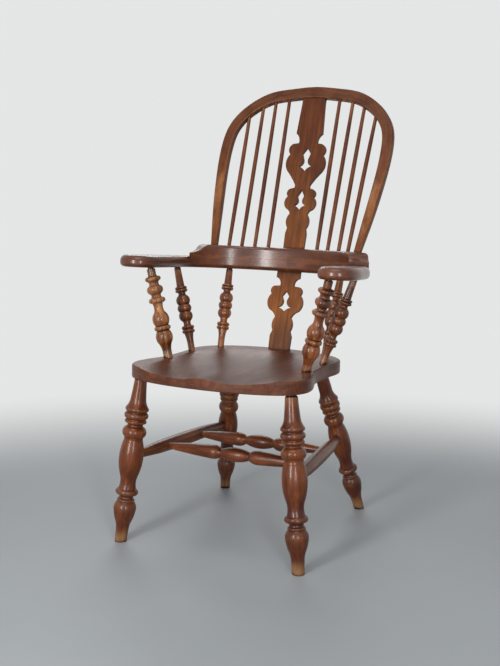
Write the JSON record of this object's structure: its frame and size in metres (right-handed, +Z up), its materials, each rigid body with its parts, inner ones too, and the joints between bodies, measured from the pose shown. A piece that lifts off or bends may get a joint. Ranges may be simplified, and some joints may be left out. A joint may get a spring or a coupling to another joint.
{
  "type": "high-back broad-arm captain's chair",
  "caption": "High-backed wooden armchair with turned legs and supports, a dished plank seat, pierced splats and a bent hoop back.",
  "frame": {"origin": "on the floor, under the centre of the chair's bounding box", "axes": "+Z up, the sitter faces -Y, +X is the sitter's left"},
  "size_m": [0.6514, 0.7215, 1.1732],
  "materials": {
    "seat_elm": "polished",
    "polished_wood": "polished",
    "turned_wood": "polished",
    "splat_wood": "polished",
    "peg_wood": "satin"
  },
  "bodies": {
    "root": {"arm_joint_dowels": "peg_wood", "arm_left": "polished_wood", "arm_right": "polished_wood", "arm_support_back_left": "turned_wood", "arm_support_back_right": "turned_wood", "arm_support_front_left": "turned_wood", "arm_support_front_right": "turned_wood", "arm_support_middle_left": "turned_wood", "arm_support_middle_right": "turned_wood", "back_stick_left_1": "turned_wood", "back_stick_left_2": "turned_wood", "back_stick_left_3": "turned_wood", "back_stick_left_4": "turned_wood", "back_stick_right_1": "turned_wood", "back_stick_right_2": "turned_wood", "back_stick_right_3": "turned_wood", "back_stick_right_4": "turned_wood", "crest": "polished_wood", "crest_dowels": "peg_wood", "cross_stretcher_back": "turned_wood", "cross_stretcher_front": "turned_wood", "hoop": "polished_wood", "leg_back_left": "turned_wood", "leg_back_right": "turned_wood", "leg_front_left": "turned_wood", "leg_front_right": "turned_wood", "lower_splat": "splat_wood", "seat": "seat_elm", "side_stretcher_left": "turned_wood", "side_stretcher_right": "turned_wood", "tenon_wedges": "peg_wood", "upper_splat": "splat_wood"}
  },
  "joints": []
}
